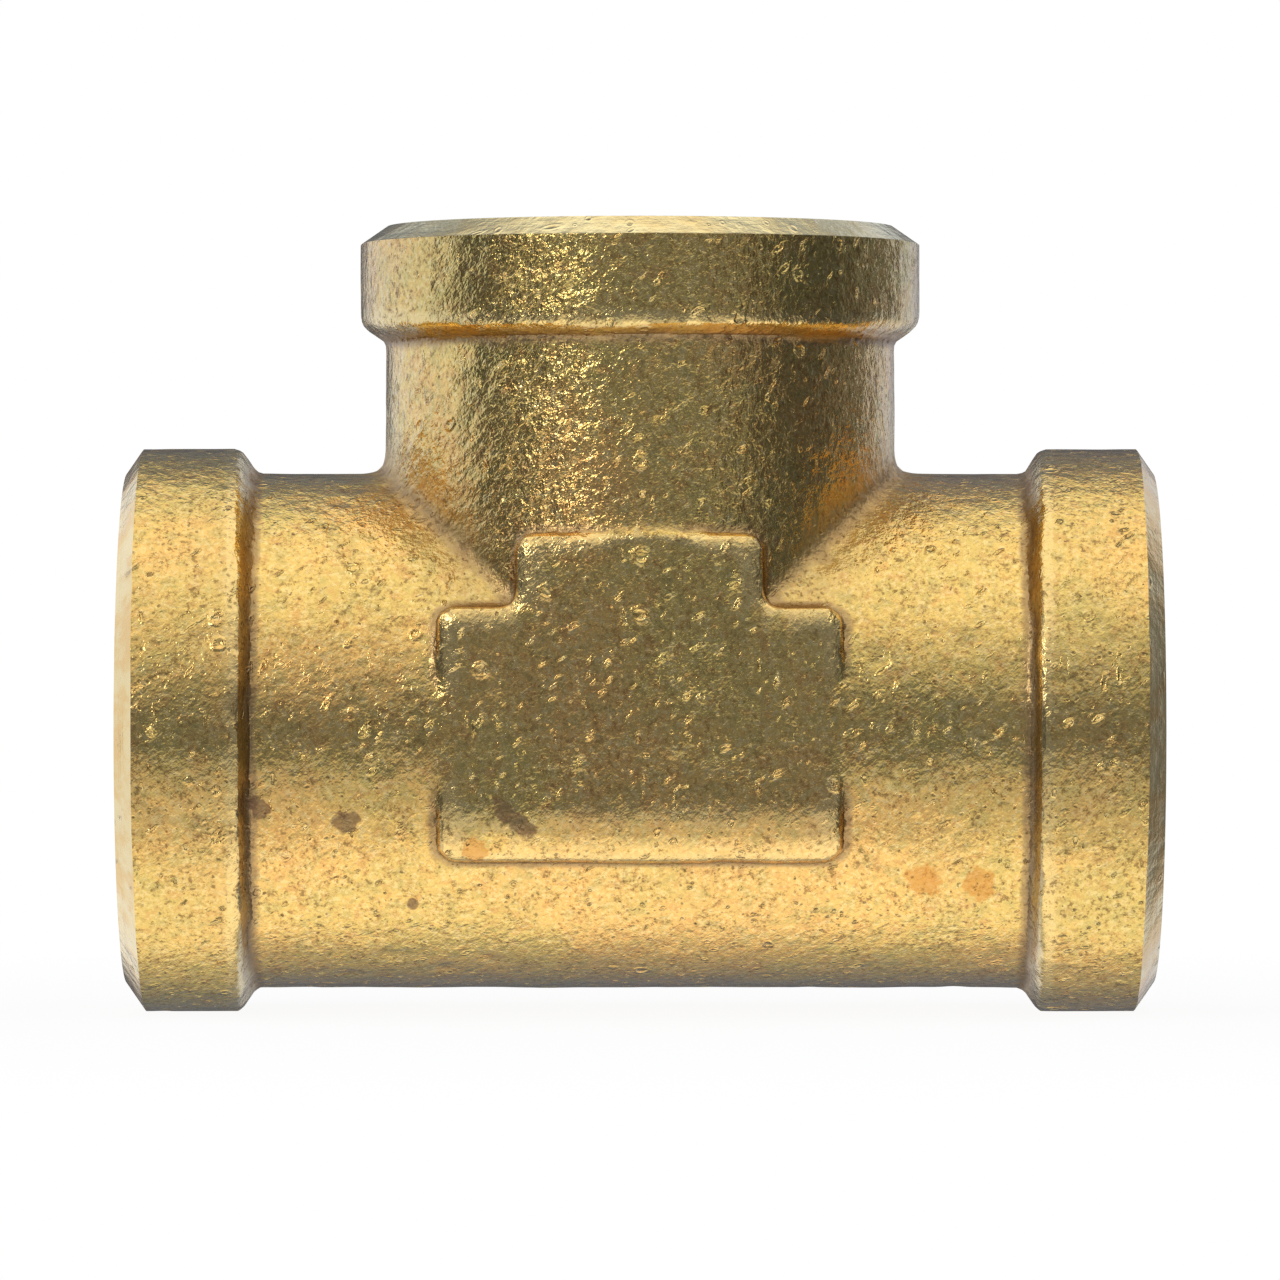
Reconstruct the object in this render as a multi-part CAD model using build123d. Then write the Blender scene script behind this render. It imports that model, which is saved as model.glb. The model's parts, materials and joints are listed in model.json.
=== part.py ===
from build123d import *
from build123d.topology import SkipClean
from math import atan, degrees, hypot, radians, tan
import os

# Female pipe tee, hot forged in brass and machined at its three ends.
# The run lies along X, the branch rises along +Z, and their axes cross at the origin.

# Outside of the forging, mm
RUN_REACH = 26.25  # axis crossing to each run end face
BRANCH_REACH = 25.8  # axis crossing to the branch end face
RUN_TUBE_RADIUS = 13.1
BRANCH_TUBE_RADIUS = 12.95
RUN_BAND_RADIUS = 14.35
BRANCH_BAND_RADIUS = 14.25
RUN_BAND_LENGTH = 6.65  # end face to the foot of the band's shoulder
BRANCH_BAND_LENGTH = 5.95
SHOULDER_ANGLE = 55.0  # degrees, from the band down to the tube
BAND_CREST_FILLET = 0.9
BAND_ROOT_FILLET = 0.8
FACE_CHAMFER_LENGTH = 0.9  # along the axis
FACE_CHAMFER_DEPTH = 1.3  # towards the axis
CROTCH_FILLET = 1.2
SURFACE_TOLERANCE = 0.01

# Raised marking pad on the front and on the back, mm; its flat just clears the run's crown
PAD_PLANE = 13.15  # run axis to the pad's flat
PAD_HALF_WIDTH = 10.1
PAD_BOTTOM = -6.45
PAD_STEP = 6.25  # where the pad narrows towards the branch
PAD_NECK_HALF_WIDTH = 6.15
PAD_TOP = 9.95
PAD_CORNER_FILLET = 0.9

# Inside of the ports, mm
WATERWAY_RADIUS = 8.0
TAP_DRILL_RADIUS = 18.256 / 2
TAP_DRILL_DEPTH = 15.0
COUNTERSINK_RADIUS = 10.9

# 1/2-14 taper pipe thread, right hand
THREAD_PITCH = 25.4 / 14
THREAD_HEIGHT = 0.8 * THREAD_PITCH
PITCH_DIAMETER_AT_FACE = 19.772
THREAD_TAPER = 1 / 32  # radius lost per mm of depth
FLANK_ANGLE = 30.0  # degrees from the plane across the axis
TIP_HALF_WIDTH = 0.04
MOUTH_HALF_WIDTH = 0.88  # widest half width of the groove, which leaves a crest between turns
GROOVE_ROOM = 0.3  # how far the cutting section reaches into the open bore
TURNS_OUTSIDE = 1
FULL_TURNS = 6
RUNOUT_TURNS = 2
RUNOUT_TAPER = 0.3  # steeper taper over which the groove fades into the bore


def band_shoulder(height):
    """Length along the axis of a shoulder of this height."""
    return height / tan(radians(SHOULDER_ANGLE))


def port_blank(reach, tube_radius, band_radius, band_length):
    """Solid of revolution about +Z: tube, shoulder, band and machined face chamfer."""
    foot = reach - band_length
    crest = foot + band_shoulder(band_radius - tube_radius)
    outline = Polyline(
        (0, 0),
        (tube_radius, 0),
        (tube_radius, foot),
        (band_radius, crest),
        (band_radius, reach - FACE_CHAMFER_LENGTH),
        (band_radius - FACE_CHAMFER_DEPTH, reach),
        (0, reach),
        close=True,
    )
    section = make_face(outline)
    root = section.vertices().sort_by_distance((tube_radius, foot))[0]
    section = fillet(root, BAND_ROOT_FILLET)
    crown = section.vertices().sort_by_distance((band_radius, crest))[0]
    section = fillet(crown, BAND_CREST_FILLET)
    return revolve(Plane.XZ * section, Axis.Z)


def run_port():
    return port_blank(RUN_REACH, RUN_TUBE_RADIUS, RUN_BAND_RADIUS, RUN_BAND_LENGTH)


def branch_port():
    return port_blank(BRANCH_REACH, BRANCH_TUBE_RADIUS, BRANCH_BAND_RADIUS, BRANCH_BAND_LENGTH)


def crotch_edges(body):
    """Edges where the branch tube leaves the run tube."""
    def on_both_tubes(edge):
        point = edge @ 0.5
        off_run = abs(hypot(point.Y, point.Z) - RUN_TUBE_RADIUS)
        off_branch = abs(hypot(point.X, point.Y) - BRANCH_TUBE_RADIUS)
        return max(off_run, off_branch) < SURFACE_TOLERANCE and point.Z > 0
    return body.edges().filter_by(on_both_tubes)


def pad_outline():
    """The pad's outline in the XZ plane: a wide block that steps in under the branch."""
    half = Polyline(
        (0, PAD_BOTTOM),
        (PAD_HALF_WIDTH, PAD_BOTTOM),
        (PAD_HALF_WIDTH, PAD_STEP),
        (PAD_NECK_HALF_WIDTH, PAD_STEP),
        (PAD_NECK_HALF_WIDTH, PAD_TOP),
        (0, PAD_TOP),
        close=True,
    )
    half_face = make_face(half)
    outline = half_face + mirror(half_face, about=Plane.YZ)
    return fillet(outline.vertices(), PAD_CORNER_FILLET)


def pads():
    """One block through the metal, which stands out as a flat on the front and on the back."""
    return extrude(Plane.XZ * pad_outline(), PAD_PLANE, both=True)


def forging():
    """Outside of the tee with no hole in it."""
    run = Rot(0, 90, 0) * run_port() + Rot(0, -90, 0) * run_port()
    body = run + branch_port()
    body = fillet(crotch_edges(body), CROTCH_FILLET)
    return body + pads()


def in_quarters(outline):
    """Turn a half section about Z in four quarters, which leaves each wall as four faces."""
    quarter = Rot(0, 0, 45) * revolve(Plane.XZ * make_face(outline), Axis.Z, 90)
    solid = quarter
    for turn in (90, 180, 270):
        solid = solid + Rot(0, 0, turn) * quarter
    return solid


def plain_bore(reach):
    """Countersink, tap drill with its 45 degree point, and waterway; Z is depth below the face."""
    sink = COUNTERSINK_RADIUS - TAP_DRILL_RADIUS
    point = TAP_DRILL_RADIUS - WATERWAY_RADIUS
    outline = Polyline(
        (0, 0),
        (COUNTERSINK_RADIUS, 0),
        (TAP_DRILL_RADIUS, sink),
        (TAP_DRILL_RADIUS, TAP_DRILL_DEPTH),
        (WATERWAY_RADIUS, TAP_DRILL_DEPTH + point),
        (WATERWAY_RADIUS, reach),
        (0, reach),
        close=True,
    )
    return in_quarters(outline)


def groove_turn(tip_radius, taper):
    """One right-hand turn of the groove about +Z; its section starts on +X at Z = 0."""
    flank = (MOUTH_HALF_WIDTH - TIP_HALF_WIDTH) / tan(radians(FLANK_ANGLE))
    mouth_radius = tip_radius - flank
    back_radius = mouth_radius - GROOVE_ROOM
    outline = Polyline(
        (tip_radius, -TIP_HALF_WIDTH),
        (mouth_radius, -MOUTH_HALF_WIDTH),
        (back_radius, -MOUTH_HALF_WIDTH),
        (back_radius, MOUTH_HALF_WIDTH),
        (mouth_radius, MOUTH_HALF_WIDTH),
        (tip_radius, TIP_HALF_WIDTH),
        close=True,
    )
    section = Plane.XZ * make_face(outline)
    path = Helix(THREAD_PITCH, THREAD_PITCH, tip_radius, cone_angle=-degrees(atan(taper)))
    return Solid.sweep(section.face(), path.edge(), is_frenet=True)


def thread_turns():
    """Turns of the groove from outside the face down to where it has run out."""
    tip_radius = (PITCH_DIAMETER_AT_FACE + THREAD_HEIGHT) / 2
    tip_radius += TURNS_OUTSIDE * THREAD_PITCH * THREAD_TAPER
    depth = -TURNS_OUTSIDE * THREAD_PITCH
    tapers = [THREAD_TAPER] * (TURNS_OUTSIDE + FULL_TURNS) + [RUNOUT_TAPER] * RUNOUT_TURNS
    turns = []
    for taper in tapers:
        turns.append(Pos(0, 0, depth) * groove_turn(tip_radius, taper))
        depth += THREAD_PITCH
        tip_radius -= THREAD_PITCH * taper
    return turns


def threaded_bore(reach):
    """All the metal that is missing from one port; Z is depth below the face."""
    bore = plain_bore(reach)
    for turn in thread_turns():
        bore = bore + turn
    return bore


def tee_body():
    """The forging with its three ports machined; bore walls are kept in quarters."""
    body = forging()
    with SkipClean():
        run_bore = Pos(0, 0, RUN_REACH) * Rot(180, 0, 0) * threaded_bore(RUN_REACH)
        branch_bore = Pos(0, 0, BRANCH_REACH) * Rot(180, 0, 0) * threaded_bore(BRANCH_REACH)
        body = body - Rot(0, 90, 0) * run_bore
        body = body - Rot(0, -90, 0) * run_bore
        body = body - branch_bore
    return body


def main():
    os.makedirs("parts", exist_ok=True)
    body = tee_body()
    body.label = "tee_body"
    export_step(body, "parts/tee_body.step")


main()
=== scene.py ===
import json
from math import cos, degrees, pi, radians, sin, tau

import bmesh
import bpy
from mathutils import Matrix, Vector


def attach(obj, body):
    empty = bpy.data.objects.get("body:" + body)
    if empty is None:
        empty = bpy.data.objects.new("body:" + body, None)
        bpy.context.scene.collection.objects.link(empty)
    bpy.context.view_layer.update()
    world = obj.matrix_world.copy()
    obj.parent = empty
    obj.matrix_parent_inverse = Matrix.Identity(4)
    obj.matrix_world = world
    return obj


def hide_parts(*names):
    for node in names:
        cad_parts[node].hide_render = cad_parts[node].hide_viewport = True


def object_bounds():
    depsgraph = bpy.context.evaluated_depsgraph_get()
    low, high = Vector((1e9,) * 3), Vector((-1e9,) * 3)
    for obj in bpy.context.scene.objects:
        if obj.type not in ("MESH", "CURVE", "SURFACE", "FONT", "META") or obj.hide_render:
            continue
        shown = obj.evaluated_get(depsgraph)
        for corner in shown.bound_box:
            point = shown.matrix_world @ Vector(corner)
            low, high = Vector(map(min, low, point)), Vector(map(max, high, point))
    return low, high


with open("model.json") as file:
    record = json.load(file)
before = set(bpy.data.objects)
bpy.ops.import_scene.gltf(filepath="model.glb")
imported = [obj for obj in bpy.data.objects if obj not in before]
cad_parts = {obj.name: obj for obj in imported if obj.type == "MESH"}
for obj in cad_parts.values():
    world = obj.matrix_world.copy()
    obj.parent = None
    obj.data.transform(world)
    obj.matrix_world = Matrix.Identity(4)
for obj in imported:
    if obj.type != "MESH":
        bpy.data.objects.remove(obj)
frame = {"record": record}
cad_low, cad_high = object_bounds()

MM = 0.001

# Places of a Mix node's colour sockets; its names repeat for each data type
MIX_FACTOR, MIX_COLOUR_A, MIX_COLOUR_B, MIX_COLOUR_OUT = 0, 6, 7, 2


# ---------------------------------------------------------------- node maths

class Sock:
    """A node's output that takes part in Python maths; each operation adds one node."""

    def __init__(self, graph, socket):
        self.graph = graph
        self.socket = socket

    def maths(self, operation, *values):
        return self.graph.node("ShaderNodeMath", {"operation": operation}, values)

    def __add__(self, other):
        return self.maths("ADD", self, other)

    def __sub__(self, other):
        return self.maths("SUBTRACT", self, other)

    def __mul__(self, other):
        return self.maths("MULTIPLY", self, other)

    def __truediv__(self, other):
        return self.maths("DIVIDE", self, other)

    def __pow__(self, other):
        return self.maths("POWER", self, other)

    def __rsub__(self, other):
        return self.maths("SUBTRACT", other, self)

    def __neg__(self):
        return self.maths("MULTIPLY", self, -1)

    def __gt__(self, other):
        return self.maths("GREATER_THAN", self, other)

    def __lt__(self, other):
        return self.maths("LESS_THAN", self, other)

    __radd__ = __add__
    __rmul__ = __mul__

    def other(self, output):
        """Another output of the same node."""
        return Sock(self.graph, self.socket.node.outputs[output])

    def abs(self):
        return self.maths("ABSOLUTE", self)

    def high(self, other):
        return self.maths("MAXIMUM", self, other)

    def low(self, other):
        return self.maths("MINIMUM", self, other)

    def clamped(self):
        return self.graph.node("ShaderNodeClamp", {}, {"Value": self})

    def smooth_low(self, other, reach):
        return self.maths("SMOOTH_MIN", self, other, reach)

    def smooth_high(self, other, reach):
        return self.maths("SMOOTH_MAX", self, other, reach)

    def rise(self, start, end):
        """0 below start, 1 above end, with a soft ramp between them."""
        values = {"Value": self, "From Min": start, "From Max": end}
        return self.graph.node("ShaderNodeMapRange", {"interpolation_type": "SMOOTHSTEP"}, values)


class Graph:
    """Adds nodes to one node tree."""

    def __init__(self, tree):
        self.tree = tree

    def node(self, kind, settings=None, values=(), output=0):
        """A node of this type; settings are made first, then its inputs by name or by place."""
        node = self.tree.nodes.new(kind)
        for name, setting in (settings or {}).items():
            setattr(node, name, setting)
        pairs = values.items() if isinstance(values, dict) else enumerate(values)
        for key, value in pairs:
            if isinstance(value, Sock):
                self.tree.links.new(value.socket, node.inputs[key])
            else:
                node.inputs[key].default_value = value
        return Sock(self, node.outputs[output])

    def length(self, *parts):
        """Length of a vector given by two or three of its coordinates."""
        total = parts[0] * parts[0]
        for part in parts[1:]:
            total = total + part * part
        return total ** 0.5

    def split(self, vector):
        xyz = self.node("ShaderNodeSeparateXYZ", {}, [vector])
        return [xyz.other(axis) for axis in "XYZ"]

    def join(self, x, y, z):
        return self.node("ShaderNodeCombineXYZ", {}, [x, y, z])

    def scale(self, vector, factor):
        values = {0: vector, "Scale": factor}
        return self.node("ShaderNodeVectorMath", {"operation": "SCALE"}, values)

    def mix(self, factor, a, b):
        """Blend of two colours."""
        values = {MIX_FACTOR: factor, MIX_COLOUR_A: a, MIX_COLOUR_B: b}
        return self.node("ShaderNodeMix", {"data_type": "RGBA"}, values, MIX_COLOUR_OUT)

    def noise(self, vector, scale, detail=2.0, roughness=0.5):
        values = {"Vector": vector, "Scale": scale, "Detail": detail, "Roughness": roughness}
        return self.node("ShaderNodeTexNoise", {}, values)


def new_tree(name, inputs):
    """A Geometry Nodes tree with one float input for each named size; returns graph and inputs."""
    tree = bpy.data.node_groups.new(name, "GeometryNodeTree")
    tree.interface.new_socket("Geometry", in_out="OUTPUT", socket_type="NodeSocketGeometry")
    for label in inputs:
        tree.interface.new_socket(label, in_out="INPUT", socket_type="NodeSocketFloat")
    graph = Graph(tree)
    source = tree.nodes.new("NodeGroupInput")
    return graph, {label: Sock(graph, source.outputs[label]) for label in inputs}


def end_tree(graph, geometry, material):
    """Close a tree: realised geometry with one material."""
    solid = graph.node("GeometryNodeRealizeInstances", {}, [geometry])
    solid = graph.node("GeometryNodeSetMaterial", {}, {"Geometry": solid, "Material": material})
    target = graph.tree.nodes.new("NodeGroupOutput")
    graph.tree.links.new(solid.socket, target.inputs["Geometry"])


def grow(name, graph, sizes):
    """Run a tree on an empty mesh with these sizes, and return its result as a plain object."""
    piece = bpy.data.objects.new(name, bpy.data.meshes.new(name))
    bpy.context.scene.collection.objects.link(piece)
    modifier = piece.modifiers.new(name, "NODES")
    modifier.node_group = graph.tree
    for item in graph.tree.interface.items_tree:
        if item.in_out == "INPUT":
            modifier[item.identifier] = float(sizes[item.name])
    return settle(piece)


def settle(piece):
    """Replace an object's mesh by its evaluated mesh, and drop its modifiers."""
    depsgraph = bpy.context.evaluated_depsgraph_get()
    mesh = bpy.data.meshes.new_from_object(piece.evaluated_get(depsgraph))
    piece.modifiers.clear()
    piece.data = mesh
    return piece


# ---------------------------------------------------------------- sizes, mm

def mount_size(name, key):
    """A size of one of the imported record's mounts, mm."""
    mount = next(m for m in frame["record"]["mounts"] if m["name"] == name)
    return mount["dims"][key]


TEE = {
    "Run Reach": cad_high.x / MM,
    "Branch Reach": cad_high.z / MM,
    "Run Tube": 13.1,
    "Branch Tube": 12.95,
    "Run Band": cad_high.y / MM,
    "Branch Band": 14.25,
    "Run Band Length": 6.65,
    "Branch Band Length": 5.95,
    "Shoulder Slope": 1.43,
    "Shoulder Steepening": 1.3,
    "Run Crest": 0.35,
    "Branch Crest": 0.75,
    "Shoulder Root": 0.3,
    "Crotch": 1.6,
    "Pad Plane": 13.15,
    "Pad Width": 10.1,
    "Pad Neck": 6.15,
    "Pad Bottom": -6.45,
    "Pad Step": 6.25,
    "Pad Top": 9.95,
    "Pad Corner": 0.9,
    "Stock": 1.0,
    "Grain Size": 0.295,
}
EDGE_WANDER = 0.4
EDGE_ROLL = 0.16  # how fast the pad's flat falls away towards its outline
BOTTOM_ROLL = 0.1  # the same over the pad's lowest stretch
NECK_BLEND = 1.5
PAD_EDGE = 0.3
PAD_BLEND = 0.35
WAVE_HEIGHT = 0.16
RIPPLE_HEIGHT = 0.06
DENT_DEPTH = 0.07
FLASH_HEIGHT = 0.06
GRID_MARGIN = 1.5  # empty cells kept round the forging
THREAD_PITCH = 25.4 / 14
THREAD = {
    "Pitch": THREAD_PITCH,
    "Turns": 9.0,
    "Lead In": 1.0,
    "Full Turns": 7.0,
    "Tip Radius": (19.772 + 0.8 * THREAD_PITCH) / 2,
    "Taper": 1 / 32,
    "Runout": 0.3,
    "Tip Half Width": 0.04,
    "Mouth Half Width": 0.9,
    "Depth": 0.86 * 3 ** 0.5,
}
DRILL_RADIUS = mount_size("port_branch", "r_mm")
DRILL_DEPTH = 15.0
WATERWAY_RADIUS = mount_size("run_waterway", "r_mm")
COUNTERSINK_RADIUS = 10.9
ABOVE_RUN = 20.0  # height that only the branch's end reaches
INSIDE_BRANCH = 9.0  # height above which a bore belongs to the branch
CHAMFER_LENGTH = 0.9
CHAMFER_DEPTH = 1.3
CHAMFER_LIFT = 0.12  # the run's ends were turned slightly above the forging's centre
SHARP_ANGLE = 32.0
HOLLOW_REACH = 4  # smoothing passes, each about one grain of the mesh
TOOL_OVERLAP = 2.0
FACING_RADIUS = 20.0
TOOL_SIDES = 128
GROOVE_STEPS = 64  # points in each turn of the thread
PORTS = {"run_right": (1, 0, 0), "run_left": (-1, 0, 0), "branch": (0, 0, 1)}


# ---------------------------------------------------------------- the forging

def edge_wander(g, position):
    """How far along its axis a band's shoulder strays, mm."""
    return (g.noise(position, 0.35, 3.0) - 0.5) * EDGE_WANDER


def port_field(along, out, y, port, size):
    """Distance outside a tube and its end band; the shoulder is steepest off the parting line."""
    reach, tube, band = size[port + " Reach"], size[port + " Tube"], size[port + " Band"]
    off_parting = y / out.high(1)
    slope = size["Shoulder Slope"] * (1 + off_parting * off_parting * size["Shoulder Steepening"])
    shoulder = tube + (along - reach + size[port + " Band Length"]) * slope
    radius = shoulder.smooth_high(tube, size["Shoulder Root"])
    radius = radius.smooth_low(band, size[port + " Crest"])
    return (out - radius).high(along - reach - size["Stock"])


def round_box(g, x, z, half_width, bottom, top, corner):
    """Distance outside an upright rectangle with rounded corners."""
    across = x.abs() - half_width + corner
    up = (z - (bottom + top) * 0.5).abs() - (top - bottom) * 0.5 + corner
    outside = g.length(across.high(0), up.high(0))
    return outside + across.high(up).low(0) - corner


def pad_field(g, x, y, z, size):
    """Distance outside the stepped pads, whose flats droop a little towards their edges."""
    corner = size["Pad Corner"]
    wide = round_box(g, x, z, size["Pad Width"], size["Pad Bottom"], size["Pad Step"], corner)
    neck = round_box(g, x, z, size["Pad Neck"], 0.0, size["Pad Top"], corner)
    outline = wide.smooth_low(neck, NECK_BLEND)
    under_branch = (1 - x.abs().rise(2, 4.8)) * z.rise(6.8, 8)
    edge_roll = (outline + 1.2).high(0) ** 2 * EDGE_ROLL * (1 - under_branch)
    bottom_roll = (size["Pad Bottom"] + 3.0 - z).high(0) ** 2 * BOTTOM_ROLL
    return (y.abs() - size["Pad Plane"] + edge_roll + bottom_roll).smooth_high(outline, PAD_EDGE)


def skin_relief(g, position, y):
    """How far the forged skin stands proud: die waviness, shallow dents and the trimmed flash."""
    wave = g.noise(position, 0.16, 1.0) - 0.5
    ripple = g.noise(position, 0.8, 2.0) - 0.5
    cell = g.node("ShaderNodeTexVoronoi", {}, {"Vector": position, "Scale": 0.42})
    dent = (1 - cell.rise(0.12, 0.34)) * (g.split(cell.other("Color"))[0] > 0.6)
    flash = 1 - y.abs().rise(0.5, 0.8)
    relief = wave * WAVE_HEIGHT + ripple * RIPPLE_HEIGHT
    return relief - dent * DENT_DEPTH + flash * FLASH_HEIGHT


def hollow(g):
    """How far each point lies below its smoothed surroundings, mm; negative on an outer edge."""
    place = g.node("GeometryNodeInputPosition")
    values = {"Value": place, "Iterations": HOLLOW_REACH}
    smoothed = g.node("GeometryNodeBlurAttribute", {"data_type": "FLOAT_VECTOR"}, values)
    lift = g.node("ShaderNodeVectorMath", {"operation": "SUBTRACT"}, [smoothed, place])
    outward = g.node("GeometryNodeInputNormal")
    along = g.node("ShaderNodeVectorMath", {"operation": "DOT_PRODUCT"}, [lift, outward], "Value")
    return along * (1 / MM)


def forging_tree(material):
    """Tree that makes the blank from a rule for the distance to its surface."""
    g, size = new_tree("tee_forging", TEE)
    position = g.scale(g.node("GeometryNodeInputPosition"), 1 / MM)
    x, y, z = g.split(position)
    wander = edge_wander(g, position)
    run = port_field(x.abs() + wander, g.length(y, z), y, "Run", size)
    branch = port_field(z + wander, g.length(x, y), y, "Branch", size).high(-z)
    nook = (1 - run.abs().high(branch.abs()).rise(0.4, 3.4)) * x.abs().rise(5.5, 9)
    facing = y / size["Run Tube"]
    blend = (size["Crotch"] * (1 - facing * facing)).high(0.05)
    tee = run.smooth_low(branch, blend)
    tee = tee.smooth_low(pad_field(g, x, y, z, size), PAD_BLEND)
    tee = tee - skin_relief(g, position, y)
    run_end = size["Run Reach"] + GRID_MARGIN
    side = size["Run Band"] + GRID_MARGIN
    top = size["Branch Reach"] + GRID_MARGIN
    low = g.join(run_end * -MM, side * -MM, side * -MM)
    high = g.join(run_end * MM, side * MM, top * MM)
    grains = [length / size["Grain Size"] for length in (run_end * 2, side * 2, top + side)]
    counts = [g.node("FunctionNodeFloatToInt", {}, [number]) for number in grains]
    volume = g.node(
        "GeometryNodeVolumeCube", {},
        {
            "Density": (1 - tee).high(0).low(2),
            "Min": low,
            "Max": high,
            "Resolution X": counts[0],
            "Resolution Y": counts[1],
            "Resolution Z": counts[2],
        },
    )
    values = {"Volume": volume, "Threshold": 1.0}
    mesh = g.node("GeometryNodeVolumeToMesh", {"resolution_mode": "GRID"}, values)
    for name, value in {"hollow": hollow(g), "nook": nook}.items():
        values = {"Geometry": mesh, "Name": name, "Value": value}
        mesh = g.node("GeometryNodeStoreNamedAttribute", {}, values)
    end_tree(g, g.node("GeometryNodeSetShadeSmooth", {}, [mesh]), material)
    return g


# ---------------------------------------------------------------- machining tools

def groove_tree(material):
    """Tree that sweeps the thread's 60 degree groove along a tapering helix; Z is depth."""
    g, size = new_tree("thread_groove", THREAD)
    turn = g.node("GeometryNodeSplineParameter") * size["Turns"]
    depth = (turn - size["Lead In"]) * size["Pitch"]
    faded = (turn - size["Full Turns"]).high(0) * size["Pitch"] * size["Runout"]
    radius = size["Tip Radius"] - depth * size["Taper"] - faded
    angle = turn * tau
    place = g.join(
        radius * g.node("ShaderNodeMath", {"operation": "COSINE"}, [angle]) * MM,
        radius * g.node("ShaderNodeMath", {"operation": "SINE"}, [angle]) * MM,
        depth * MM,
    )
    line = g.node("GeometryNodeCurvePrimitiveLine")
    count = g.node("FunctionNodeFloatToInt", {}, [size["Turns"] * GROOVE_STEPS + 1])
    line = g.node("GeometryNodeResampleCurve", {}, {"Curve": line, "Count": count})
    helix = g.node("GeometryNodeSetPosition", {}, {"Geometry": line, "Position": place})
    helix = g.node("GeometryNodeSetCurveNormal", {"mode": "Z_UP"}, [helix])
    corners = [
        g.join(0.0, size["Tip Half Width"] * -MM, 0.0),
        g.join(0.0, size["Tip Half Width"] * MM, 0.0),
        g.join(size["Depth"] * -MM, size["Mouth Half Width"] * MM, 0.0),
        g.join(size["Depth"] * -MM, size["Mouth Half Width"] * -MM, 0.0),
    ]
    section = g.node(
        "GeometryNodeCurvePrimitiveQuadrilateral", {"mode": "POINTS"},
        {f"Point {i + 1}": corner for i, corner in enumerate(corners)},
    )
    values = {"Curve": helix, "Profile Curve": section, "Fill Caps": True}
    end_tree(g, g.node("GeometryNodeCurveToMesh", {}, values), material)
    return g


def lathe(name, profile, material):
    """Solid of revolution about Z from (radius, height) points that start and end on the axis."""
    body = bmesh.new()
    rings = []
    for radius, height in profile:
        ring = []
        for i in range(TOOL_SIDES if radius else 1):
            angle = tau * i / TOOL_SIDES
            place = (radius * cos(angle) * MM, radius * sin(angle) * MM, height * MM)
            ring.append(body.verts.new(place))
        rings.append(ring)
    for low, high in zip(rings, rings[1:]):
        for i in range(TOOL_SIDES):
            j = (i + 1) % TOOL_SIDES
            lower = [low[i % len(low)], low[j % len(low)]]
            upper = [high[j % len(high)], high[i % len(high)]]
            body.faces.new(dict.fromkeys(lower + upper))
    bmesh.ops.recalc_face_normals(body, faces=body.faces)
    mesh = bpy.data.meshes.new(name)
    body.to_mesh(mesh)
    body.free()
    mesh.materials.append(material)
    tool = bpy.data.objects.new(name, mesh)
    bpy.context.scene.collection.objects.link(tool)
    return tool


def facing_tool(band_radius, material):
    """Everything beyond an end face, with the chamfer round it; Z is depth below the face."""
    face_radius = band_radius - CHAMFER_DEPTH
    slope = CHAMFER_LENGTH / CHAMFER_DEPTH
    profile = [
        (0, -TOOL_OVERLAP),
        (FACING_RADIUS, -TOOL_OVERLAP),
        (FACING_RADIUS, (FACING_RADIUS - face_radius) * slope),
        (face_radius, 0),
        (0, 0),
    ]
    return lathe("facing_tool", profile, material)


def countersink_tool(material):
    """45 degree cone into the mouth of the drilled hole."""
    profile = [
        (0, -TOOL_OVERLAP),
        (COUNTERSINK_RADIUS + TOOL_OVERLAP, -TOOL_OVERLAP),
        (WATERWAY_RADIUS, COUNTERSINK_RADIUS - WATERWAY_RADIUS),
        (0, COUNTERSINK_RADIUS - WATERWAY_RADIUS),
    ]
    return lathe("countersink_tool", profile, material)


def drill_tool(reach, material):
    """Tap drill with its 45 degree point, and the waterway beyond it."""
    profile = [
        (0, -TOOL_OVERLAP),
        (DRILL_RADIUS, -TOOL_OVERLAP),
        (DRILL_RADIUS, DRILL_DEPTH),
        (WATERWAY_RADIUS, DRILL_DEPTH + DRILL_RADIUS - WATERWAY_RADIUS),
        (WATERWAY_RADIUS, reach),
        (0, reach),
    ]
    return lathe("drill_tool", profile, material)


def cut(piece, tool, place):
    """Take the tool's shape out of the piece; the cut faces get the tool's material."""
    tool.matrix_world = place
    modifier = piece.modifiers.new(tool.name, "BOOLEAN")
    modifier.operation = "DIFFERENCE"
    modifier.solver = "MANIFOLD"
    modifier.material_mode = "TRANSFER"
    modifier.object = tool
    settle(piece)
    bpy.data.objects.remove(tool)


def into_port(direction, reach, lift=0.0):
    """Places a tool at a port's face with its Z pointing into the metal."""
    inward = -Vector(direction)
    turn = inward.to_track_quat("Z", "Y").to_matrix().to_4x4()
    return Matrix.Translation(Vector(direction) * reach * MM + Vector((0, 0, lift * MM))) @ turn


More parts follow.
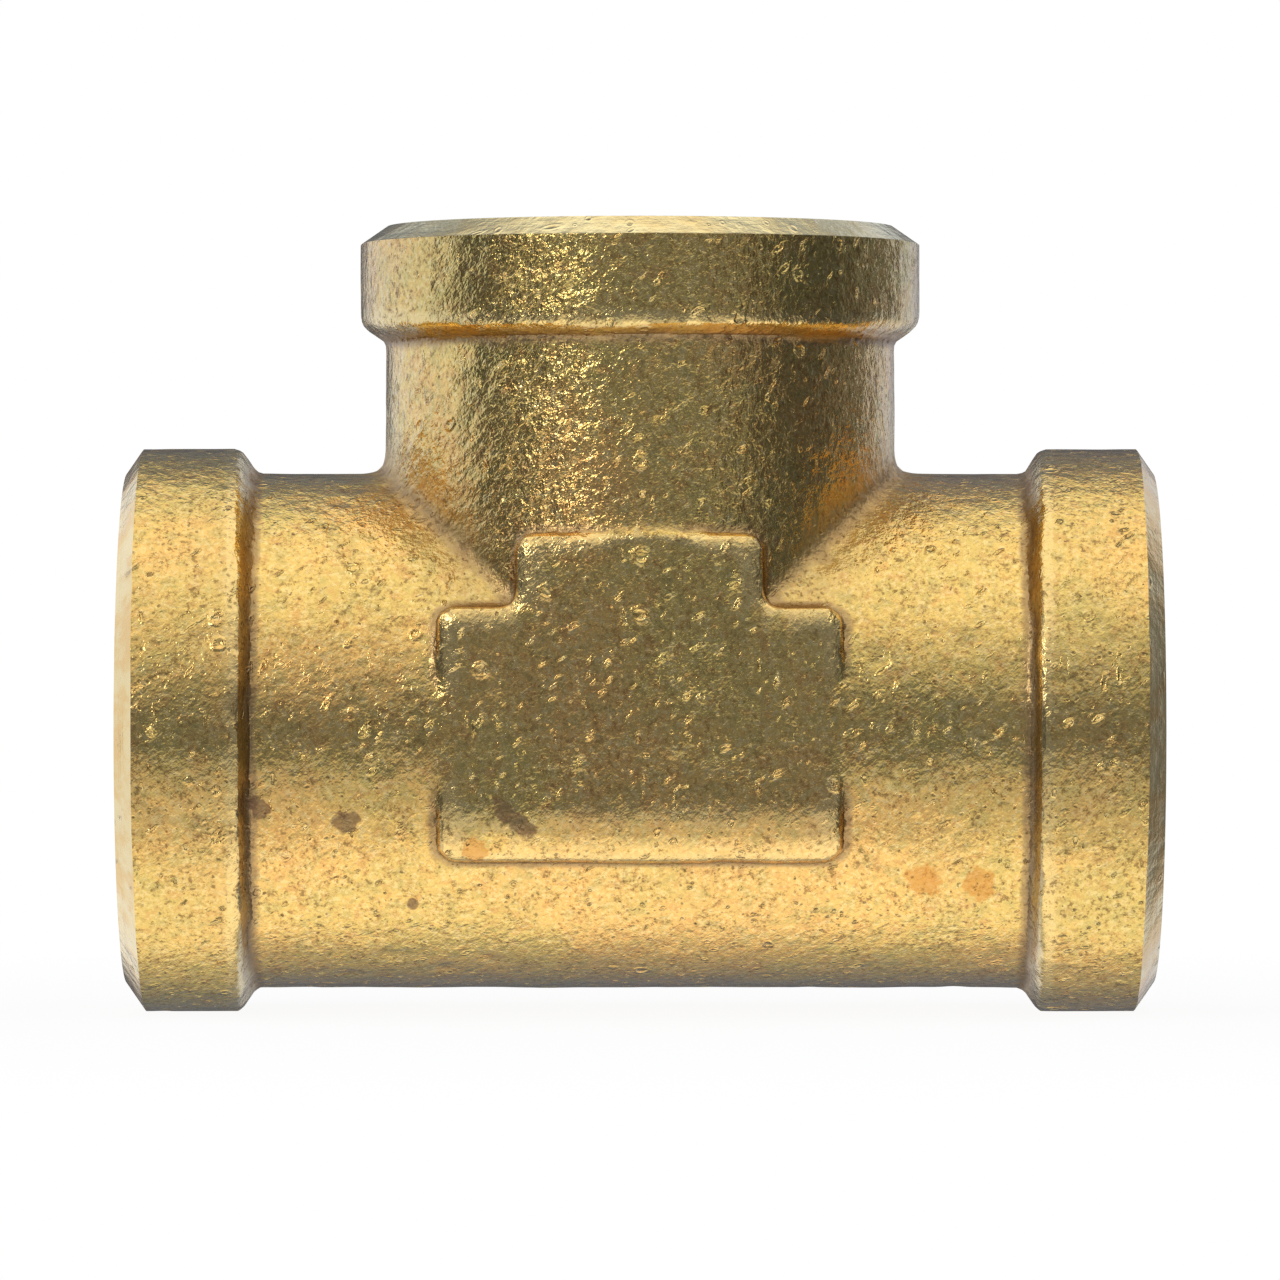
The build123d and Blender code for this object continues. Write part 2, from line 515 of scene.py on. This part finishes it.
def machine(piece, turned, threaded):
    """Face, chamfer, drill and tap the three ports."""
    for name, direction in PORTS.items():
        branch = name == "branch"
        reach = TEE["Branch Reach"] if branch else TEE["Run Reach"]
        band = TEE["Branch Band"] if branch else TEE["Run Band"]
        lift = 0.0 if branch else CHAMFER_LIFT
        place = into_port(direction, reach)
        cut(piece, facing_tool(band, turned), into_port(direction, reach, lift))
        # The run's two drills overlap at the centre, so that no film of metal is left between them
        drill_reach = reach if branch else reach + TOOL_OVERLAP
        cut(piece, drill_tool(drill_reach, threaded), place)
        cut(piece, countersink_tool(turned), place)
        cut(piece, grow("thread_tool", groove_tree(threaded), THREAD), place)
    while None in piece.data.materials[:]:
        piece.data.materials.pop(index=piece.data.materials[:].index(None))
    piece.data.set_sharp_from_angle(angle=radians(SHARP_ANGLE))
    return piece


# ---------------------------------------------------------------- finishes

STAINS = {  # marks on the front: across, up, half length, half width, degrees down to the right
    "flank_spot": (-14.7, -4.45, 0.65, 0.6, 0),
    "root_spot": (-19.0, -3.75, 0.6, 0.5, 60),
    "pad_smear": (-6.2, -4.35, 1.25, 0.42, 38),
    "low_spot": (-11.4, -8.6, 0.3, 0.3, 0),
}
COPPER_SPOTS = {
    "pad_corner": (-8.2, -5.85, 0.62, 0.6, 0),
    "right_flank": (14.2, -7.35, 0.9, 0.75, 20),
    "right_root": (17.0, -7.6, 0.8, 0.8, 0),
}
TINTS = {  # linear RGBA
    "rosy_gold": (0.97, 0.60, 0.18, 1),
    "gold": (0.84, 0.56, 0.17, 1),
    "greenish_gold": (0.74, 0.58, 0.17, 1),
    "orange_gold": (0.96, 0.54, 0.18, 1),
    "dull_gold": (0.66, 0.47, 0.17, 1),
    "olive": (0.54, 0.44, 0.15, 1),
    "rust": (0.72, 0.36, 0.12, 1),
    "bright_grain": (1.0, 0.76, 0.34, 1),
    "freckle": (0.42, 0.23, 0.08, 1),
    "band": (0.50, 0.40, 0.14, 1),
    "worn_edge": (0.95, 0.70, 0.30, 1),
    "nook": (0.54, 0.38, 0.17, 1),
    "film": (0.48, 0.31, 0.14, 1),
    # painted shade, partly oxide: a darker, greyer brown for the band roots
    "shoulder": (0.44, 0.33, 0.19, 1),
    "speck": (0.27, 0.16, 0.06, 1),
    "crust": (0.28, 0.17, 0.09, 1),
    "copper": (0.66, 0.27, 0.05, 1),
    "stain": (0.20, 0.11, 0.07, 1),
    "fresh_cut": (1.0, 0.83, 0.43, 1),
    "aged_cut": (0.94, 0.70, 0.31, 1),
    # painted shade: a deeper orange for the run's side faces than for the branch's top face
    "run_cut": (0.92, 0.58, 0.21, 1),
    "knock": (0.35, 0.23, 0.1, 1),
    "bore_mouth": (0.84, 0.60, 0.25, 1),
    # painted shade for deep in the bores
    "bore_depth": (0.66, 0.44, 0.17, 1),
    "bore_cloud": (0.5, 0.31, 0.12, 1),
}


def new_material(name):
    material = bpy.data.materials.new(name)
    material.use_nodes = True
    material.node_tree.nodes.clear()
    return material, Graph(material.node_tree)


def metal(g, colour, roughness, relief):
    """Finish a material as bare metal; relief is a height in mm."""
    bump = g.node("ShaderNodeBump", {}, {"Height": relief, "Distance": MM})
    values = {"Base Color": colour, "Metallic": 1.0, "Roughness": roughness, "Normal": bump}
    surface = g.node("ShaderNodeBsdfPrincipled", {}, values)
    output = g.tree.nodes.new("ShaderNodeOutputMaterial")
    g.tree.links.new(surface.socket, output.inputs["Surface"])


def object_mm(g):
    """Object coordinates in mm."""
    return g.scale(g.node("ShaderNodeTexCoord", {}, {}, "Object"), 1 / MM)


def stored(g, name):
    """A value that the forging's tree left on its mesh."""
    return g.node("ShaderNodeAttribute", {"attribute_name": name}, {}, "Fac")


def turned_about(g, vector, angles, stretch):
    """Coordinates turned by these angles, then squeezed so that a pattern stretches."""
    values = {"Vector": vector, "Rotation": angles}
    turned = g.node("ShaderNodeVectorRotate", {"rotation_type": "EULER_XYZ"}, values)
    return g.node("ShaderNodeVectorMath", {"operation": "MULTIPLY"}, [turned, stretch])


def dents(g, vector, scale, share, radius, rim):
    """Dents 1 deep in a share of the cells, each with a rim pushed up round it."""
    values = {"Vector": vector, "Scale": scale}
    distance = g.node("ShaderNodeTexVoronoi", {}, values)
    lottery = g.split(distance.other("Color"))
    chosen = lottery[0] < share
    distance = distance / (0.45 + lottery[1])
    bowl = 1 - distance.rise(0, radius)
    edge = distance.rise(radius * 0.6, radius) * (1 - distance.rise(radius, radius * 1.6))
    return (edge * rim - bowl) * chosen


def nicks(g, position, count, scale, share, radius, length):
    """Long dents in several directions, as left by parts that tumble against each other."""
    total = 0
    for i in range(count):
        angles = (i * 2.4, i * 1.1 + 0.5, i * 1.9 + 0.3)
        vector = turned_about(g, position, angles, (1 / length, 1, 1))
        total = dents(g, vector, scale, share, radius, 0.5) + total
    return total


def spot(g, x, y, z, across, up, half_length, half_width, slope, wobble):
    """1 inside one mark on the front, fading over its edge."""
    c, s = cos(radians(slope)), sin(radians(slope))
    along = ((x - across) * c - (z - up) * s) / half_length
    over = ((x - across) * s + (z - up) * c) / half_width
    power = 6 if half_length > 2 * half_width else 2
    reach = (along.abs() ** power + over.abs() ** power) ** (1 / power) + wobble
    return (1 - reach.rise(0.85, 1.15)) * (y < 0)


def brushed(g, position, angles):
    """Fine strokes that all run one way."""
    return g.noise(turned_about(g, position, angles, (0.22, 1, 1)), 6.0, 2.0, 0.6) - 0.5


def forged_skin():
    """Hot-forged, tumbled brass: gold with an olive film, brown hollows and many knocks, and
    painted shade along the band roots.
    """
    material, g = new_material("forged_skin")
    position = object_mm(g)
    x, y, z = g.split(position)
    hollow_here = stored(g, "hollow")
    nook = stored(g, "nook")

    region = g.noise(position, 0.09, 2.0, 0.5)
    patch = g.noise(position, 0.22, 4.0, 0.6)
    cloud = g.noise(position, 0.75, 5.0, 0.7)
    tarnish = g.noise(position, 1.9, 3.0, 0.6)
    mottle = g.noise(position, 1.2, 5.0, 0.72)
    grain = g.noise(position, 3.4, 3.0, 0.66)
    dust = g.noise(position, 5.5, 3.0, 0.7)
    drift = g.scale(tarnish.other("Color"), 0.35)
    bent = g.node("ShaderNodeVectorMath", {"operation": "ADD"}, [position, drift])

    on_band = x.abs().high(z).rise(19.3, 20.3)
    past_run_foot = x.abs() - TEE["Run Reach"] + TEE["Run Band Length"]
    past_branch_foot = z - TEE["Branch Reach"] + TEE["Branch Band Length"]
    past_foot = past_run_foot.high(past_branch_foot) + edge_wander(g, position)
    # The band roots are darkened: partly oxide in the crease, partly painted shade that stands in
    # for the dark root line and damps the light bounced there
    shoulder = window(past_foot, -0.3, 0.02, 0.3, 0.6)
    beaten_side = window(x, -9, -6.5, -3.8, -1.2)
    battered = 0.3 + z.rise(5, 11) * (0.24 + beaten_side * 0.46)
    battered = battered.high(patch.rise(0.48, 0.62) * 0.55)
    rings = dents(g, bent, 0.62, 0.24, 0.16, 0.8)
    pits = dents(g, bent, 2.3, 0.4, 0.26, 0.2)
    knocks = nicks(g, bent, 4, 1.3, 0.36, 0.13, 3.6)
    scratches = nicks(g, bent, 4, 2.0, 0.5, 0.1, 7.0)
    strokes = brushed(g, position, (0.4, 0.8, 0.5)) + brushed(g, position, (2.0, 0.3, 1.7))
    crinkle = g.noise(turned_about(g, bent, (0.3, 0.6, 0.9), (0.5, 1, 1)), 1.25, 3.0, 0.62) - 0.5
    relief = (grain - 0.5) * 0.024 + strokes * 0.012 + crinkle * battered * 0.26
    relief = relief + rings * 0.05 + pits * 0.02
    relief = relief + knocks * (0.034 + battered * 0.03) + scratches * 0.02

    film = hollow_here.rise(0.01, 0.035).high(cloud.rise(0.56, 0.72) * 0.6)
    crust = hollow_here.rise(0.025, 0.06)
    freckles = dust.rise(0.5, 0.62) * (0.35 + cloud.rise(0.4, 0.6) * 0.65)
    speck = grain.rise(0.545, 0.64) * (cloud.rise(0.4, 0.58) + on_band * 0.3)
    speck = speck.high((-pits).rise(0.1, 0.7)).high((-knocks).rise(0.3, 0.9) * 0.5)
    worn = (-hollow_here).rise(0.004, 0.025)
    wobble = (tarnish - 0.5) * 1.4
    stain = 0
    for mark in STAINS.values():
        stain = spot(g, x, y, z, *mark, wobble) + stain
    copper = 0
    for mark in COPPER_SPOTS.values():
        copper = spot(g, x, y, z, *mark, wobble) + copper

    colour = g.mix(patch.rise(0.42, 0.58), TINTS["rosy_gold"], TINTS["gold"])
    colour = g.mix(region.rise(0.44, 0.6) * 0.4, colour, TINTS["greenish_gold"])
    colour = g.mix((1 - region).rise(0.5, 0.62) * 0.4, colour, TINTS["orange_gold"])
    colour = g.mix(tarnish.rise(0.5, 0.7) * 0.5, colour, TINTS["dull_gold"])
    colour = g.mix(mottle.rise(0.52, 0.6) * 0.5, colour, TINTS["olive"])
    colour = g.mix((1 - mottle).rise(0.53, 0.62) * 0.5, colour, TINTS["rust"])
    colour = g.mix((1 - grain).rise(0.52, 0.62) * 0.55, colour, TINTS["bright_grain"])
    colour = g.mix(freckles * 0.58, colour, TINTS["freckle"])
    colour = g.mix(on_band * 0.15, colour, TINTS["band"])
    colour = g.mix(worn * 0.5, colour, TINTS["worn_edge"])
    colour = g.mix(nook * 0.4, colour, TINTS["nook"])
    colour = g.mix(film * 0.5, colour, TINTS["film"])
    # painted shade along the band roots, partly oxide
    colour = g.mix(shoulder * 0.6, colour, TINTS["shoulder"])
    colour = g.mix(speck.clamped() * 0.72, colour, TINTS["speck"])
    colour = g.mix(crust * 0.5, colour, TINTS["crust"])
    colour = g.mix(copper.clamped() * 0.62, colour, TINTS["copper"])
    colour = g.mix(stain.clamped() * 0.7, colour, TINTS["stain"])
    roughness = 0.17 + (cloud - 0.5) * 0.14 + film * 0.12 + speck * 0.12 + stain.clamped() * 0.2
    roughness = roughness + nook * 0.16 + shoulder * 0.14
    metal(g, colour, roughness.clamped(), relief)
    return material


def turned_brass():
    """Faces, chamfers and countersinks off the lathe: pale, with fine rings round each port; the
    run's are tinted deeper orange with painted shade.
    """
    material, g = new_material("turned_brass")
    position = object_mm(g)
    x, y, z = g.split(position)
    on_branch = z > ABOVE_RUN
    radius = g.length(y, z) * (1 - on_branch) + g.length(x, y) * on_branch
    rings = g.noise(g.join(radius, on_branch, 0), 9.0, 3.0, 0.7)
    broad = g.noise(g.join(radius, on_branch, 3), 1.6, 1.0)
    cloud = g.noise(position, 0.5, 4.0, 0.6)
    knocks = nicks(g, position, 3, 1.1, 0.26, 0.16, 4.0)
    relief = (rings - 0.5) * 0.026 + (cloud - 0.5) * 0.16 + knocks * 0.03
    colour = g.mix(cloud.rise(0.35, 0.7), TINTS["fresh_cut"], TINTS["aged_cut"])
    # Painted shade, partly random tone: the run's side faces are tinted deeper orange than the
    # branch's top face, which stays paler as if lit from above
    on_run = (1 - on_branch) * (0.5 + cloud.rise(0.45, 0.6) * 0.5)
    colour = g.mix(on_run, colour, TINTS["run_cut"])
    colour = g.mix((-knocks).rise(0.1, 0.7) * 0.5, colour, TINTS["knock"])
    roughness = 0.2 + (rings - 0.5) * 0.12 + (broad - 0.5) * 0.1 + (cloud - 0.5) * 0.12
    metal(g, colour, roughness.clamped(), relief)
    return material


def tapped_brass():
    """Thread and bore: cut metal with tool lines, a little duller deep inside, where the colour
    also darkens with painted shade.
    """
    material, g = new_material("tapped_brass")
    position = object_mm(g)
    x, _, z = g.split(position)
    on_branch = z > INSIDE_BRANCH
    depth = (TEE["Run Reach"] - x.abs()) * (1 - on_branch) + (TEE["Branch Reach"] - z) * on_branch
    lines = g.noise(g.join(depth, on_branch, 0), 7.0, 3.0, 0.7)
    cloud = g.noise(position, 0.6, 4.0, 0.6)
    deep = depth.rise(6, 16)
    # Painted shade: the colour darkens deeper into the bore
    colour = g.mix(deep, TINTS["bore_mouth"], TINTS["bore_depth"])
    colour = g.mix(cloud.rise(0.5, 0.75) * 0.5, colour, TINTS["bore_cloud"])
    roughness = 0.24 + (lines - 0.5) * 0.14 + (cloud - 0.5) * 0.16 + deep * 0.08
    metal(g, colour, roughness.clamped(), (lines - 0.5) * 0.03)
    return material


# ---------------------------------------------------------------- stage, light and camera

CAMERA_DISTANCE = 480.0
CAMERA_HEIGHT = 4.64
FRAME_WIDTH = 65.6  # width seen at the fitting's axis
SENSOR_WIDTH = 36.0


def window(value, start, full, fade, end):
    """1 between full and fade, falling to 0 at start and end."""
    return value.rise(start, full) * (1 - value.rise(fade, end))


def studio_light():
    """Soft boxes above, below and beside the fitting in a dim room; the backdrop is white."""
    world = bpy.data.worlds.new("studio")
    world.use_nodes = True
    world.node_tree.nodes.clear()
    g = Graph(world.node_tree)
    across, away, up = g.split(g.node("ShaderNodeTexCoord"))
    pitch = g.node("ShaderNodeMath", {"operation": "ARCTAN2"}, [up, -away]) * degrees(1)
    heading = g.node("ShaderNodeMath", {"operation": "ARCTAN2"}, [across, -away]) * degrees(1)
    middle = 1 - across.abs().rise(0.6, 0.92)
    level = 1 - up.abs().rise(0.4, 0.75)
    room = 0.09 + (1 - heading.abs().rise(34, 62)) * level * 0.11
    above = window(pitch, 0, 70, 102, 136) * middle * 1.12
    behind = window(pitch, 100, 125, 150, 175) * middle * 0.16
    left = window(-heading, 75, 92, 150, 164) * level * 0.85
    right = window(heading, 128, 138, 162, 172) * level * 0.6
    edge = window(heading, 97, 107, 116, 126) * level * 0.12
    under = window(-pitch, 112, 130, 158, 174) * middle * 0.14
    below = window(-pitch, 4, 28, 104, 150) * middle * 0.5
    table = window(-pitch, 30, 66, 94, 120) * middle * 0.66
    cool = g.scale((0.88, 1.0, 1.28), room + behind + left + right + edge + under)
    warm = g.scale((1.0, 0.99, 0.94), above + below + table)
    glow = g.node("ShaderNodeVectorMath", {"operation": "ADD"}, [cool, warm])
    glow = g.node("ShaderNodeBackground", {}, {"Color": glow, "Strength": 1.0})
    backdrop = g.node("ShaderNodeBackground", {}, {"Color": (1, 1, 1, 1), "Strength": 1.0})
    seen = g.node("ShaderNodeLightPath")
    sky = g.node("ShaderNodeMixShader", {}, [seen, glow, backdrop])
    output = g.tree.nodes.new("ShaderNodeOutputWorld")
    g.tree.links.new(sky.socket, output.inputs["Surface"])
    bpy.context.scene.world = world


def softbox(name, place, size, power):
    """Square area light that faces the fitting."""
    light = bpy.data.lights.new(name, "AREA")
    light.size = size * MM
    light.energy = power
    lamp = bpy.data.objects.new(name, light)
    lamp.location = Vector(place) * MM
    lamp.rotation_euler = (-lamp.location).to_track_quat("-Z", "Y").to_euler()
    bpy.context.scene.collection.objects.link(lamp)


def floor():
    """Wide pale floor under the fitting that goes over into the white backdrop."""
    material, g = new_material("pale_floor")
    x, y, _ = g.split(object_mm(g))
    near = 1 - g.length(x, y).rise(30, 110)
    matt = g.node("ShaderNodeBsdfDiffuse", {}, {"Color": (0.9, 0.9, 0.9, 1)})
    glow = g.node("ShaderNodeEmission", {}, {"Color": (1, 1, 1, 1), "Strength": 1.0})
    surface = g.node("ShaderNodeMixShader", {}, [near * 0.07, glow, matt])
    output = g.tree.nodes.new("ShaderNodeOutputMaterial")
    g.tree.links.new(surface.socket, output.inputs["Surface"])
    body = bmesh.new()
    bmesh.ops.create_circle(body, cap_ends=True, segments=96, radius=3.0)
    bmesh.ops.translate(body, verts=body.verts, vec=(0, 0, cad_low.z))
    mesh = bpy.data.meshes.new("floor")
    body.to_mesh(mesh)
    body.free()
    mesh.materials.append(material)
    piece = bpy.data.objects.new("floor", mesh)
    bpy.context.scene.collection.objects.link(piece)
    piece.visible_glossy = False
    piece.visible_diffuse = False


def camera():
    """Long lens looking level along +Y at the front of the fitting."""
    data = bpy.data.cameras.new("camera")
    data.sensor_width = SENSOR_WIDTH
    data.lens = SENSOR_WIDTH * CAMERA_DISTANCE / FRAME_WIDTH
    data.clip_start = 10 * MM
    view = bpy.data.objects.new("camera", data)
    view.location = (0, -CAMERA_DISTANCE * MM, CAMERA_HEIGHT * MM)
    view.rotation_euler = (pi / 2, 0, 0)
    bpy.context.scene.collection.objects.link(view)
    bpy.context.scene.camera = view


camera()
studio_light()
softbox("key_left", (-150, -212, 120), 58, 0.08)
floor()

tee = grow("tee_fitting", forging_tree(forged_skin()), TEE)
machine(tee, turned_brass(), tapped_brass())
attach(tee, "root")
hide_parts("tee_body")

bpy.context.scene.view_settings.view_transform = "Standard"
